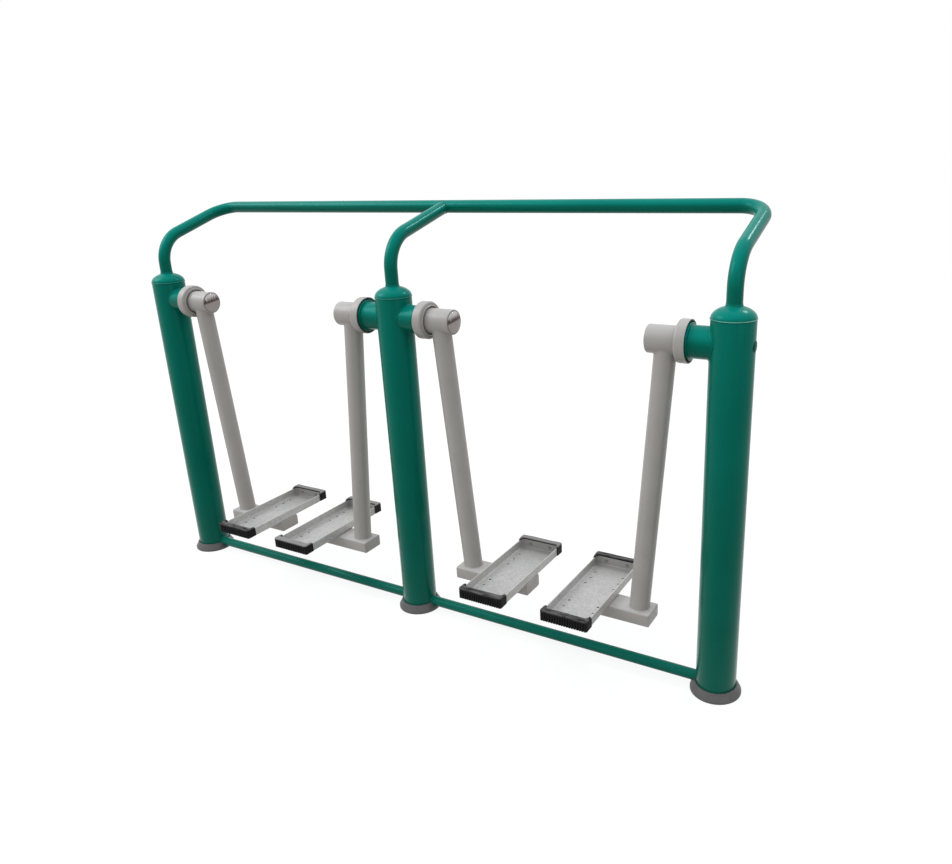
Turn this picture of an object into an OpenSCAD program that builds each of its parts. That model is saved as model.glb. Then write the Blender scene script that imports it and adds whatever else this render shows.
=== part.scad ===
// Outdoor air walker with two bays. Three round posts stand in a row along X and carry
// a bent handrail, two low rails and four bearings. From each bearing hangs a leg with a
// foot tray that swings along Y, the walking direction. Millimetres, +Z up, and the
// origin on the ground under the middle post.

/* [Posts] */
// Distance between the axes of neighbouring posts
post_spacing = 1060; // [980:10:1300]
// Outside diameter of a post
post_d = 114; // [104:1:130]
// Wall of a post
post_wall = 3; // [2:0.5:6]
// Height of the seam between a post and its cap
post_top_z = 1085; // [1075:5:1200]
// Height of the domed cap above the seam
dome_h = 34; // [24:1:46]
// Wall of the domed cap
dome_wall = 3; // [2:0.5:5]
// Thickness of the weld bead along the cap's seam
seam_bead = 2.4; // [1:0.2:4]

/* [Feet] */
// Width by which a foot stands out beyond its post
foot_flare = 16; // [10:1:30]
// Height of a foot
foot_h = 28; // [22:1:40]
// Height of the upright rim at a foot's outer edge
foot_rim_h = 7; // [4:1:12]
// Thickness of a foot's floor under the post
foot_floor = 4; // [3:0.5:8]

/* [Handrail] */
// Outside diameter of the handrail tube
rail_d = 38; // [32:1:44]
// Wall of the handrail tube
rail_wall = 2.5; // [1.5:0.5:4]
// Distance of the grip from the row of posts
rail_y = 305; // [260:5:380]
// Height of the end knees above the caps
knee_rise = 115; // [105:5:180]
// Height of the middle knee above its cap
mid_knee_rise = 134; // [120:2:180]
// Height of the grip above the end knees
rail_rise = 100; // [90:5:160]
// Bend radius of the knees, to the tube's centre line
knee_bend_r = 110; // [80:5:125]
// Bend radius of the two corners of the grip
corner_bend_r = 80; // [60:5:120]

/* [Low rails] */
// Outside diameter of the low rails
low_rail_d = 33; // [26:1:38]
// Wall of the low rails
low_rail_wall = 2.5; // [1.5:0.5:4]
// Height of the low rails' centre line
low_rail_z = 28.5; // [26:0.5:60]

/* [Bearings] */
// Height of the swing axis
pivot_z = 1020; // [900:5:1022]
// Length of a stub from the post's surface to the flange's face
stub_len = 53; // [44:1:70]
// Outside diameter of a stub
stub_d = 84; // [74:1:92]
// Wall of a stub
stub_wall = 5; // [3:0.5:8]
// Outside diameter of a stub's flange
flange_d = 99; // [94:1:104]
// Thickness of a stub's flange
flange_t = 7; // [5:0.5:9]
// Diameter of the axle where the bearings sit
axle_d = 30; // [26:1:32]
// Diameter of the axle's thicker middle
axle_body_d = 38; // [34:1:42]
// Length by which an end axle shows outside its post
axle_tip = 3; // [1:0.5:6]
// Outside diameter of a ball bearing
bearing_d = 62; // [60:1:72]
// Width of a ball bearing
bearing_w = 16; // [14:1:20]
// Number of balls in a bearing
ball_count = 9; // [7:1:9]
// Width of the nut across its flats
nut_af = 46; // [41:1:50]
// Thickness of the nut
nut_h = 7; // [5:0.5:9]

/* [Hubs] */
// Wall of a hub round its bearings
hub_wall = 7; // [5:0.5:10]
// Length of a hub tube
hub_len = 102; // [98:1:120]
// Axial length of the collar
collar_len = 30; // [24:1:31]
// Wall of the collar
collar_wall = 3; // [2:0.5:5]
// Radial gap between the flange and the collar
collar_gap = 5; // [3:0.5:8]
// Thickness of the collar's back
collar_back = 6; // [4:0.5:9]
// Leg of the weld fillet between collar and hub
hub_weld = 6; // [3:0.5:8]
// Thickness of the hub cap at its edge
hub_cap_t = 3.5; // [2:0.5:5]
// Rise of the hub cap's dome
hub_cap_rise = 4; // [2:0.5:8]

/* [Legs] */
// Outside diameter of a leg tube
leg_d = 60; // [50:1:62]
// Wall of a leg tube
leg_wall = 3; // [2:0.5:5]
// Distance from the flange's face to the leg, along the swing axis
leg_seat = 62; // [61:1:70]
// Angle by which a leg leans away from its post
leg_lean = 4.6; // [1:0.2:7]

/* [Arms] */
// Width of the arm's box section, along Y
arm_w = 80; // [70:1:88]
// Height of the arm's box section
arm_h = 40; // [30:1:60]
// Wall of the arm
arm_wall = 3; // [2:0.5:5]
// Edge radius of the arm's box section
arm_edge_r = 5; // [4:0.5:8]
// Length of the arm beyond the leg's axis, on the post's side
arm_heel = 43; // [38:1:60]

/* [Pedals] */
// Height of a pedal's top
pedal_top_z = 248.5; // [200:0.5:320]
// Length of a pedal with its rubber caps
pedal_l = 405; // [380:5:450]
// Width of a pedal across its rubber caps
pedal_w = 150; // [130:1:170]
// Height of a rubber cap
pedal_h = 34; // [30:1:45]
// Height of a rubber cap's foot above the tray's underside
cap_lift = 3.5; // [1:0.5:6]
// Length of a rubber cap with the cheeks that lie along the tray
cap_l = 36; // [28:1:48]
// Thickness of a rubber cap beyond the tray's end
cap_bar = 17; // [12:1:22]
// Distance from the leg's foot to the pedal's centre
pedal_reach = 152.5; // [136:0.5:175]
// Width by which a rubber cap stands out beside the tray
tray_inset = 3; // [1:0.5:6]
// Height of the tray's walls
tray_h = 30.5; // [27:0.5:31]
// Thickness of the tray's sheet
tray_t = 3; // [2:0.5:4]
// Diameter of a drain hole
drain_d = 6; // [4:0.5:8]
// Distance between drain holes along the tray
drain_pitch = 37.5; // [34:0.5:45]
// Inside radius of the tray's bends
bend_r = 3; // [1:0.5:6]
// Corner radius of a rubber cap
cap_corner_r = 6; // [3:0.5:9]
// Number of grooves across a rubber cap
groove_count = 17; // [9:1:21]
// Width of a groove
groove_w = 3.2; // [2:0.2:4]
// Depth of a groove
groove_depth = 2.5; // [1.5:0.5:4]
// Plain height above the grooves
groove_top = 7; // [5:0.5:10]
// Diameter of a cap screw's shank
screw_d = 5; // [4:0.5:6]
// Distance of a cap screw from the pedal's middle line
screw_x = 36; // [25:1:50]

/* [Hidden] */
$fn = 96;

green = "#0B7560";
grey = "#B4B2B2";
foot_grey = "#5C5A5B";
steel = "#9A9C9E";
zinc = "#B5B6B6";
black = "#1A1719";

// Clearances: a running fit, a seat between pieces that don't move, and an overrun for cuts
fit = 0.05;
seat = 0.3;
over = 2;

post_r = post_d / 2;
rail_r = rail_d / 2;
leg_r = leg_d / 2;
dome_top_z = post_top_z + dome_h;
foot_r = post_r + foot_flare;

// Places along the swing axis, measured from the post's axis towards the bay
flange_x = post_r + stub_len;
hub_gap = 4;
hub_x = flange_x + hub_gap;
hub_end_x = hub_x + hub_len;
hub_r = bearing_d / 2 + hub_wall;
near_bearing_x = hub_x + hub_gap / 2;
far_bearing_x = hub_end_x - hub_cap_t - nut_h - bearing_w - hub_gap / 4;
nut_x = far_bearing_x + bearing_w + seat;
axle_end_x = nut_x + nut_h;
hub_step = 4;
collar_r = flange_d / 2 + collar_gap + collar_wall;
collar_lap = 2.6;
collar_x = flange_x - collar_lap;
collar_back_x = collar_x + collar_len;

// The leg's axis crosses the swing axis at leg_x and the arm's top at foot_x
leg_x = flange_x + leg_seat;
tray_z = pedal_top_z - pedal_h - cap_lift;
foot_x = leg_x + (pivot_z - tray_z) * tan(leg_lean);
pedal_x = foot_x + pedal_reach;
tray_w = pedal_w - 2 * tray_inset;
tray_l = pedal_l - 2 * cap_bar;
arm_end_x = pedal_x + tray_w / 2;
screw_z = tray_z + tray_h * 0.6;
head_d = screw_d * 1.8;
head_h = screw_d * 0.5;
screw_l = cap_bar * 0.7;

// Handrail: angle of the slope from upright, and the tangent length of a knee
knee_z = dome_top_z + knee_rise;
rail_z = knee_z + rail_rise;
slope_a = atan2(rail_y, rail_rise);
mid_knee_z = dome_top_z + mid_knee_rise;
mid_slope_a = atan2(rail_y, rail_z - mid_knee_z);

// Post and direction of each swinging leg, and each post's place
walker_post = [-post_spacing, 0, 0, post_spacing];
walker_side = [1, -1, 1, -1];

function arc(c, r, a0, a1, n) = [for (k = [0 : n]) let (a = a0 + (a1 - a0) * k / n) c + r * [cos(a), sin(a)]];
function knee_tangent(a) = knee_bend_r * tan(a / 2);
bend_swell = 0.1;
bend_lap = 1;

// Places a child at a walker's post, with +X towards its bay
module at_walker(i) {
    translate([walker_post[i], 0, 0])
        if (walker_side[i] > 0) children();
        else mirror([1, 0, 0]) children();
}

// Turns a child that stands along Z so that it lies along X on the swing axis
module on_axis(x) {
    translate([x, 0, pivot_z]) rotate([0, 90, 0]) children();
}

module tube(r, wall, length) {
    difference() {
        cylinder(r = r, h = length);
        translate([0, 0, -over]) cylinder(r = r - wall, h = length + 2 * over);
    }
}

// A post with the cross holes for its axle. The sides list names the sides with a stub.
module post(x, sides) {
    color(green) translate([x, 0, 0]) difference() {
        translate([0, 0, foot_floor]) tube(post_r, post_wall, post_top_z - foot_floor);
        translate([0, 0, pivot_z]) for (s = [-1, 1])
            rotate([0, s * 90, 0])
                cylinder(r = (len(search(s, sides)) > 0 ? axle_body_d : axle_d) / 2 + fit, h = post_d);
    }
}

// A pressed dome with a knuckle at its edge, welded to the post, with a flat seat and a
// weld fillet round the handrail's foot
module post_cap(x) {
    knuckle_r = dome_h * 0.62;
    seat_r = rail_r + dome_wall * 1.5;
    crown = [[post_r - knuckle_r * 0.3, dome_h * 0.68], [(post_r + seat_r) / 2, dome_h * 0.86], [seat_r, dome_h]];
    side = arc([post_r - knuckle_r, dome_h * 0.12], knuckle_r, 0, 52, 8);
    color(green) translate([x, 0, post_top_z]) {
        difference() {
            rotate_extrude() polygon(concat([[0, 0], [post_r, 0]], side, [crown[1], crown[2], [0, dome_h]]));
            translate([0, 0, -over]) cylinder(r = post_r - dome_wall, h = dome_h * 0.3 + over);
            translate([0, 0, dome_h * 0.3])
                cylinder(r1 = post_r - dome_wall, r2 = seat_r, h = dome_h * 0.7 - dome_wall);
        }
        translate([0, 0, dome_h]) rotate_extrude()
            polygon([[rail_r, 0], [seat_r, 0], [rail_r, dome_wall * 1.5]]);
        rotate_extrude() translate([post_r, seam_bead / 2]) circle(d = seam_bead, $fn = 24);
    }
}

// A flared foot under a post, with a notch for each low rail that meets the post there
module foot(x, sides) {
    lip_r = (foot_flare - seat) * 0.22;
    color(foot_grey) translate([x, 0, 0]) difference() {
        rotate_extrude() polygon(concat(
            [[0, 0], [foot_r, 0], [foot_r, foot_rim_h]],
            arc([post_r + seat + lip_r, foot_h - lip_r], lip_r, 20, 180, 8),
            [[post_r + seat, foot_floor], [0, foot_floor]]));
        for (s = sides) translate([0, 0, low_rail_z]) rotate([0, s * 90, 0])
            cylinder(r = low_rail_d / 2 + seat, h = foot_r + over);
        for (s = sides) translate([s > 0 ? 0 : -foot_r - over, -low_rail_d / 2 - seat, low_rail_z])
            cube([foot_r + over, low_rail_d + 2 * seat, foot_h]);
    }
}

// An elbow in the XY plane about the origin, a touch fuller than the straight tube
module elbow(bend_r, a) {
    rotate_extrude(angle = a) translate([bend_r, 0]) difference() {
        circle(r = rail_r + bend_swell);
        circle(r = rail_r - rail_wall - bend_swell);
    }
}

// A knee: the elbow that leans an upright tube by angle a towards +Y, its corner at z
module knee(a, z) {
    translate([0, knee_bend_r, z - knee_tangent(a)]) rotate([90, 0, -90]) elbow(knee_bend_r, a);
}

// A straight run of tube, its ends lapped into the elbows by bend_lap
module rail_run(from, to) {
    translate([0, 0, from]) tube(rail_r, rail_wall, to - from);
}

// One end of the handrail, from the cap to the corner of the grip
module handrail_end() {
    t = knee_tangent(slope_a);
    slope_l = norm([rail_y, rail_rise]) - corner_bend_r;
    translate([post_spacing, 0, 0]) {
        rail_run(dome_top_z, knee_z - t + bend_lap);
        knee(slope_a, knee_z);
        translate([0, 0, knee_z]) rotate([-slope_a, 0, 0]) rail_run(t - bend_lap, slope_l + bend_lap);
        translate([0, rail_y, rail_z]) rotate([90 - slope_a, 0, 0])
            translate([-corner_bend_r, -corner_bend_r, 0]) elbow(corner_bend_r, 90);
    }
}

module handrail() {
    grip = post_spacing - corner_bend_r + bend_lap;
    color(green) {
        handrail_end();
        mirror([1, 0, 0]) handrail_end();
        translate([0, rail_y, rail_z]) rotate([0, 90, 0]) rail_run(-grip, grip);
    }
}

// The middle upright, bent like the ends and coped against the grip
module handrail_strut() {
    t = knee_tangent(mid_slope_a);
    color(green) difference() {
        union() {
            rail_run(dome_top_z, mid_knee_z - t + bend_lap);
            knee(mid_slope_a, mid_knee_z);
            translate([0, 0, mid_knee_z]) rotate([-mid_slope_a, 0, 0])
                rail_run(t - bend_lap, norm([rail_y, rail_z - mid_knee_z]));
        }
        translate([-post_spacing / 2, rail_y, rail_z]) rotate([0, 90, 0]) cylinder(r = rail_r, h = post_spacing);
    }
}

// A straight tube between two posts, coped to both
module low_rail(x) {
    color(green) difference() {
        translate([x - post_spacing / 2, 0, low_rail_z]) rotate([0, 90, 0])
            tube(low_rail_d / 2, low_rail_wall, post_spacing);
        for (s = [-1, 1]) translate([x + s * post_spacing / 2, 0, -over])
            cylinder(r = post_r, h = low_rail_z + low_rail_d + over);
    }
}

// A stub tube coped to the post, closed by a flange with the axle's hole
module stub() {
    color(green) difference() {
        union() {
            on_axis(0) cylinder(d = stub_d, h = flange_x - flange_t / 2);
            on_axis(flange_x - flange_t) cylinder(d = flange_d, h = flange_t);
        }
        cylinder(r = post_r, h = pivot_z + stub_d);
        on_axis(0) cylinder(d = stub_d - 2 * stub_wall, h = flange_x - flange_t);
        on_axis(0) cylinder(r = axle_body_d / 2 + fit, h = flange_x + over);
    }
}

// Half of an axle, from the post's axis to its threaded end inside the hub
module axle_half() {
    on_axis(0) cylinder(d = axle_body_d, h = near_bearing_x - seat);
    on_axis(0) cylinder(d = axle_d, h = axle_end_x);
}

module middle_axle() {
    color(steel) {
        axle_half();
        mirror([1, 0, 0]) axle_half();
    }
}

// An end axle shows its turned tip outside the post
module end_axles() {
    color(steel) for (i = [0, 3]) at_walker(i) {
        axle_half();
        on_axis(-post_r - axle_tip) cylinder(d = axle_d, h = post_r);
        on_axis(-post_r + post_wall * 2) cylinder(d = axle_body_d, h = post_r);
    }
}

module axle_nuts() {
    color(steel) for (i = [0 : 3]) at_walker(i) on_axis(nut_x) difference() {
        cylinder(d = nut_af / cos(30), h = nut_h, $fn = 6);
        translate([0, 0, -over]) cylinder(r = axle_d / 2 + fit, h = nut_h + 2 * over);
    }
}

// A cup on the hub that turns over the stub's flange and keeps rain off the bearings
module collar() {
    edge_r = collar_back;
    color(grey) on_axis(collar_x) rotate_extrude() polygon(concat(
        [[collar_r - collar_wall, 0], [collar_r, 0]],
        arc([collar_r - edge_r, collar_len - edge_r], edge_r, 0, 90, 8),
        [[hub_r + hub_weld, collar_len], [hub_r, collar_len + hub_weld], [hub_r, collar_len - collar_back],
         [collar_r - collar_wall, collar_len - collar_back]]));
}

// A hub tube with a seat for a bearing in each end and a step between them
module hub() {
    color(grey) on_axis(hub_x) difference() {
        cylinder(r = hub_r, h = hub_len);
        translate([0, 0, -over]) cylinder(d = bearing_d, h = near_bearing_x + bearing_w - hub_x + over);
        translate([0, 0, far_bearing_x - hub_x]) cylinder(d = bearing_d, h = hub_len);
        cylinder(r = bearing_d / 2 - hub_step, h = hub_len);
    }
}

// A deep-groove ball bearing: two rings with a groove and a row of balls between them
module ball_bearing() {
    ring_t = (bearing_d - axle_d) * 0.16;
    pitch_r = (bearing_d + axle_d) / 4;
    ball_r = (bearing_d - axle_d) * 0.15;
    groove_r = ball_r + fit;
    difference() {
        tube(bearing_d / 2, ring_t, bearing_w);
        translate([0, 0, bearing_w / 2]) rotate_extrude() translate([pitch_r, 0]) circle(r = groove_r, $fn = 32);
    }
    difference() {
        tube(axle_d / 2 + fit + ring_t, ring_t, bearing_w);
        translate([0, 0, bearing_w / 2]) rotate_extrude() translate([pitch_r, 0]) circle(r = groove_r, $fn = 32);
    }
    for (k = [0 : ball_count - 1]) rotate([0, 0, k * 360 / ball_count])
        translate([pitch_r, 0, bearing_w / 2]) sphere(r = ball_r, $fn = 32);
}

module bearings() {
    color(steel) for (x = [near_bearing_x, far_bearing_x]) on_axis(x) ball_bearing();
}

// A domed cap that closes the hub's free end, with a spigot in the bearing's bore
module hub_cap() {
    spigot_h = hub_cap_t - hub_gap / 4;
    dome_r = (hub_r * hub_r + hub_cap_rise * hub_cap_rise) / (2 * hub_cap_rise);
    dome_a = asin(hub_r / dome_r);
    color(zinc) on_axis(hub_end_x) {
        rotate_extrude() polygon(concat([[0, 0], [hub_r, 0]],
            arc([0, hub_cap_t + hub_cap_rise - dome_r], dome_r, 90 - dome_a, 90, 12)));
        translate([0, 0, -spigot_h]) difference() {
            cylinder(r = bearing_d / 2 - fit, h = spigot_h);
            translate([0, 0, -over]) cylinder(r = bearing_d / 2 - hub_step, h = spigot_h + over);
        }
    }
}

// A leg tube, coped under the hub and cut level on the arm
module leg() {
    reach = (pivot_z - tray_z) / cos(leg_lean);
    color(grey) difference() {
        translate([leg_x, 0, pivot_z]) rotate([0, 180 - leg_lean, 0]) tube(leg_r, leg_wall, reach + leg_r);
        on_axis(0) cylinder(r = hub_r, h = foot_x + leg_d);
        translate([0, -leg_d, tray_z - leg_d]) cube([foot_x + 2 * leg_d, 2 * leg_d, leg_d]);
    }
}

module box_section(w, h, r) {
    for (x = [-1, 1], y = [-1, 1]) translate([x * (w / 2 - r), y * (h / 2 - r)]) circle(r = r, $fn = 32);
    square([w - 2 * r, h], center = true);
    square([w, h - 2 * r], center = true);
}

// A box-section arm under leg and tray, closed at both ends
module arm() {
    arm_x = foot_x - arm_heel;
    color(grey) translate([arm_x, 0, tray_z - arm_h / 2]) rotate([90, 0, 90]) difference() {
        linear_extrude(height = arm_end_x - arm_x) box_section(arm_w, arm_h, arm_edge_r);
        translate([0, 0, arm_wall]) linear_extrude(height = arm_end_x - arm_x - 2 * arm_wall)
            box_section(arm_w - 2 * arm_wall, arm_h - 2 * arm_wall, arm_edge_r - arm_wall);
    }
}

// The tray's section across its length: a channel with two rounded bends
module tray_section(inset) {
    w = tray_w - 2 * inset;
    r = bend_r + tray_t - inset;
    for (x = [-1, 1]) translate([x * (w / 2 - r), inset + r]) circle(r = r, $fn = 32);
    translate([-w / 2 + r, inset]) square([w - 2 * r, tray_h]);
    translate([-w / 2, inset + r]) square([w, tray_h - r]);
}

// A sheet tray for the foot. Its drain holes lie on one pitch and leave out the two that
// would open on the arm, and each end wall has two screw holes.
module tray() {
    first_y = arm_w / 2 + drain_d * 1.25;
    color(zinc) difference() {
        translate([pedal_x, tray_l / 2, tray_z]) rotate([90, 0, 0]) difference() {
            intersection() {
                linear_extrude(height = tray_l) tray_section(0);
                translate([-tray_w / 2, 0, 0]) cube([tray_w, tray_h, tray_l]);
            }
            translate([0, 0, tray_t]) linear_extrude(height = tray_l - 2 * tray_t) tray_section(tray_t);
        }
        for (s = [-1, 1], k = [-4, -3, 0, 1, 2])
            translate([pedal_x + s * tray_w * 0.33, first_y + k * drain_pitch, tray_z - over])
                cylinder(d = drain_d, h = tray_t + 2 * over);
        for (s = [-1, 1]) translate([pedal_x + s * screw_x, -tray_l / 2 - over, screw_z]) rotate([-90, 0, 0])
            cylinder(d = screw_d, h = tray_l + 2 * over);
    }
}

// The outline of a rubber cap in plan, with round outer corners. Zero lies at the tray's
// end and +Y points along the tray.
module cap_plan() {
    for (s = [-1, 1]) translate([s * (pedal_w / 2 - cap_corner_r), cap_corner_r - cap_bar])
        circle(r = cap_corner_r, $fn = 32);
    translate([cap_corner_r - pedal_w / 2, -cap_bar]) square([pedal_w - 2 * cap_corner_r, cap_l]);
    translate([-pedal_w / 2, cap_corner_r - cap_bar]) square([pedal_w, cap_l - cap_corner_r]);
}

// A rubber moulding over the tray's end: a grooved bar, a cheek along each side wall and
// a lip that laps over the walls' top
module rubber_cap() {
    pitch = (pedal_w - 2 * cap_corner_r) / groove_count;
    round_r = cap_corner_r * 0.6;
    color(black) translate([0, -tray_l / 2, tray_z + cap_lift]) difference() {
        intersection() {
            linear_extrude(height = pedal_h) cap_plan();
            translate([-pedal_w / 2, 0, 0]) rotate([90, 0, 90]) linear_extrude(height = pedal_w)
                polygon(concat([[-cap_bar, 0], [cap_l, 0], [cap_l, pedal_h]],
                    arc([round_r - cap_bar, pedal_h - round_r], round_r, 90, 180, 6)));
        }
        translate([-tray_w / 2, 0, -over]) cube([tray_w, cap_l, tray_h - cap_lift + over]);
        translate([tray_t - tray_w / 2, tray_t, 0]) cube([tray_w - 2 * tray_t, cap_l, pedal_h + over]);
        for (k = [0 : groove_count - 1])
            translate([(k + 0.5 - groove_count / 2) * pitch - groove_w / 2, -cap_bar - over, -over])
                cube([groove_w, groove_depth + over, pedal_h - groove_top + over]);
        for (s = [-1, 1]) translate([s * screw_x, over, screw_z - tray_z - cap_lift]) rotate([90, 0, 0])
            cylinder(d = screw_d, h = screw_l + over);
    }
}

module near_cap() {
    translate([pedal_x, 0, 0]) rubber_cap();
}

module far_cap() {
    translate([pedal_x, 0, 0]) mirror([0, 1, 0]) rubber_cap();
}

// Four pan-head screws that hold the rubber caps to the tray's end walls
module cap_screws() {
    color(steel) for (s = [-1, 1], e = [-1, 1]) translate([pedal_x + s * screw_x, e * (tray_l / 2 - tray_t), screw_z])
        rotate([-e * 90, 0, 0]) {
            cylinder(d = screw_d, h = tray_t + screw_l);
            translate([0, 0, -head_h]) cylinder(d = head_d, h = head_h);
        }
}

post(-post_spacing, [1]);  // post_left
post(0, [-1, 1]);  // post_middle
post(post_spacing, [-1]);  // post_right
post_cap(-post_spacing);  // post_cap_left
post_cap(0);  // post_cap_middle
post_cap(post_spacing);  // post_cap_right
foot(-post_spacing, [1]);  // foot_left
foot(0, [-1, 1]);  // foot_middle
foot(post_spacing, [-1]);  // foot_right
handrail();
handrail_strut();
low_rail(-post_spacing / 2);  // low_rail_left
low_rail(post_spacing / 2);  // low_rail_right
middle_axle();
end_axles();
axle_nuts();
for (i = [0 : 3]) {
    at_walker(i) stub();
    at_walker(i) collar();
    at_walker(i) hub();
    at_walker(i) bearings();
    at_walker(i) hub_cap();
    at_walker(i) leg();
    at_walker(i) arm();
    at_walker(i) tray();
    at_walker(i) near_cap();
    at_walker(i) far_cap();
    at_walker(i) cap_screws();
}
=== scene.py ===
import math

import bmesh
import bpy
import numpy as np
from mathutils import Matrix, Vector


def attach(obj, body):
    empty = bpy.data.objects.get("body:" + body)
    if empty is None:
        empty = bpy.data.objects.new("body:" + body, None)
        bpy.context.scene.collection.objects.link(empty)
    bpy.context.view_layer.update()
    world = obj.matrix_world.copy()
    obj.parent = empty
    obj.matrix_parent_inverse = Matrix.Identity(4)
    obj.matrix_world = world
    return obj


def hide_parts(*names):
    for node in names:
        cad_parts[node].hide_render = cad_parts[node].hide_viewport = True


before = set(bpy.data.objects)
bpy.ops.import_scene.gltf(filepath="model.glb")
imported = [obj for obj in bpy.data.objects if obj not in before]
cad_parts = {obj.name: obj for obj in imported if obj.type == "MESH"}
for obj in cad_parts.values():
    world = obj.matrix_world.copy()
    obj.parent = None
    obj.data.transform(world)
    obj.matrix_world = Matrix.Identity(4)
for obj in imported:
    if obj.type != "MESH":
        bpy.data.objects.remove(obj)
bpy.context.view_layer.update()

# Camera. It stands to the right of the walker and a little above the grip, and looks
# down across both bays. The frame is 952 by 864, with the lens axis right of its middle.
camera = bpy.data.objects.new("camera", bpy.data.cameras.new("camera"))
bpy.context.scene.collection.objects.link(camera)
SENSOR, FRAME_W, FRAME_H = 36.0, 952, 864
LENS_PIXELS, AXIS_X, AXIS_Y = 794.574, 528.091, 430.074
camera.data.sensor_width = SENSOR
camera.data.lens = LENS_PIXELS / FRAME_W * SENSOR
camera.data.shift_x = (FRAME_W / 2 - AXIS_X) / FRAME_W
camera.data.shift_y = (AXIS_Y - FRAME_H / 2) / FRAME_W
camera.data.clip_end = 100.0
camera.matrix_world = Matrix((
    (0.870905, -0.131104, 0.473642, 1.581280),
    (0.490234, 0.299570, -0.818492, -1.931045),
    (-0.034581, 0.945024, 0.325168, 1.479986),
    (0, 0, 0, 1)
))
bpy.context.scene.camera = camera
bpy.context.scene.view_settings.view_transform = "Standard"

# Studio. A pale floor that keeps a soft shadow, a white surround, a large soft lamp at
# the left, a weak one at the right and a small one behind for the glints.


def linear(code):
    """Turns an sRGB hex colour into linear red, green, blue and alpha."""
    v = np.array([int(code[i:i + 2], 16) for i in (1, 3, 5)]) / 255
    v = np.where(v <= 0.04045, v / 12.92, ((v + 0.055) / 1.055) ** 2.4)
    return (*v.tolist(), 1.0)


def add(tree, kind, inputs=None, **settings):
    """Adds a node. Settings go on the node, and inputs on its sockets, as values or links."""
    n = tree.nodes.new(kind)
    for key, value in settings.items():
        setattr(n, key, value)
    for key, value in (inputs or {}).items():
        if isinstance(value, bpy.types.NodeSocket):
            tree.links.new(value, n.inputs[key])
        else:
            n.inputs[key].default_value = value
    return n


def calc(tree, operation, *values, **settings):
    """A sum, product or comparison of values and sockets."""
    return add(tree, "ShaderNodeMath", dict(enumerate(values)), operation=operation, **settings).outputs[0]


def remap(tree, value, start, full, low=0.0, high=1.0, **settings):
    """Carries a value's range, start to full, over to low to high, and holds it there beyond."""
    inputs = {"Value": value, "From Min": start, "From Max": full, "To Min": low, "To Max": high}
    return add(tree, "ShaderNodeMapRange", inputs, **settings).outputs[0]


def seen_directly(tree):
    """1 for what the camera sees straight, in a mirror or through glass, and 0 for light."""
    ray = add(tree, "ShaderNodeLightPath").outputs
    mirror = calc(tree, "ADD", ray["Is Glossy Ray"], ray["Is Transmission Ray"])
    return calc(tree, "ADD", ray["Is Camera Ray"], mirror, use_clamp=True)


floor_paint = bpy.data.materials.new("pale_studio_floor")
floor_paint.use_nodes = True
tree = floor_paint.node_tree
tree.nodes.clear()
floor_lit = add(tree, "ShaderNodeBsdfDiffuse", {"Color": (0.16, 0.16, 0.16, 1)})
floor_glow = add(tree, "ShaderNodeEmission", {"Color": (1, 1, 1, 1), "Strength": 0.87})
floor_seen = add(tree, "ShaderNodeAddShader", {0: floor_lit.outputs[0], 1: floor_glow.outputs[0]})
floor_bounce = add(tree, "ShaderNodeBsdfDiffuse", {"Color": (0.42, 0.405, 0.38, 1)})
floor_mix = add(tree, "ShaderNodeMixShader", {0: seen_directly(tree), 1: floor_bounce.outputs[0],
                                              2: floor_seen.outputs[0]})
add(tree, "ShaderNodeOutputMaterial", {"Surface": floor_mix.outputs[0]})

FLOOR_HALF_M, FLOOR_Z_M = 30, -0.0006
floor_mesh = bpy.data.meshes.new("floor")
floor_corners = [(x * FLOOR_HALF_M, y * FLOOR_HALF_M, FLOOR_Z_M)
                 for x, y in ((-1, -1), (1, -1), (1, 1), (-1, 1))]
floor_mesh.from_pydata(floor_corners, [], [(0, 1, 2, 3)])
floor_mesh.materials.append(floor_paint)
floor = bpy.data.objects.new("floor", floor_mesh)
bpy.context.scene.collection.objects.link(floor)

surround = bpy.data.worlds.new("surround")
surround.use_nodes = True
bpy.context.scene.world = surround
tree = surround.node_tree
tree.nodes.clear()
# The sky is brightest high on the left, and nearly dark low on the right.
BRIGHT_WAY = (-0.4, -0.12, 0.91)
way = add(tree, "ShaderNodeTexCoord")
lit_side = add(tree, "ShaderNodeVectorMath", {0: way.outputs["Generated"], 1: BRIGHT_WAY},
               operation="DOT_PRODUCT")
sky_light = remap(tree, lit_side.outputs["Value"], -0.5, 1.0, 0.05, 1.28)
sky = add(tree, "ShaderNodeBackground", {"Color": (0.93, 0.97, 1, 1), "Strength": sky_light})
white = add(tree, "ShaderNodeBackground", {"Color": (1, 1, 1, 1), "Strength": 1.0})
world_mix = add(tree, "ShaderNodeMixShader", {0: seen_directly(tree), 1: sky.outputs[0], 2: white.outputs[0]})
add(tree, "ShaderNodeOutputWorld", {"Surface": world_mix.outputs[0]})


def soft_lamp(name, place, aim, width, depth, watts):
    """A rectangular soft lamp at place that faces aim."""
    lamp = bpy.data.lights.new(name, "AREA")
    lamp.shape = "RECTANGLE"
    lamp.size, lamp.size_y, lamp.energy = width, depth, watts
    obj = bpy.data.objects.new(name, lamp)
    obj.location = place
    obj.rotation_euler = (Vector(aim) - Vector(place)).to_track_quat("-Z", "Y").to_euler()
    bpy.context.scene.collection.objects.link(obj)


soft_lamp("key", (-3.8, -1.9, 4.4), (0, 0, 0.6), 3.0, 2.6, 108)
soft_lamp("fill", (4.6, -2.6, 2.2), (0, 0, 0.7), 2.0, 2.0, 14)
soft_lamp("glint", (2.15, 3.2, 4.75), (0.3, 0, 1.1), 0.8, 0.6, 50)

# Posts. Three upright lengths of 114 mm steel tube, painted green with a glossy powder
# coat. They stand in the feet and end at a seam below the caps.

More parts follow.
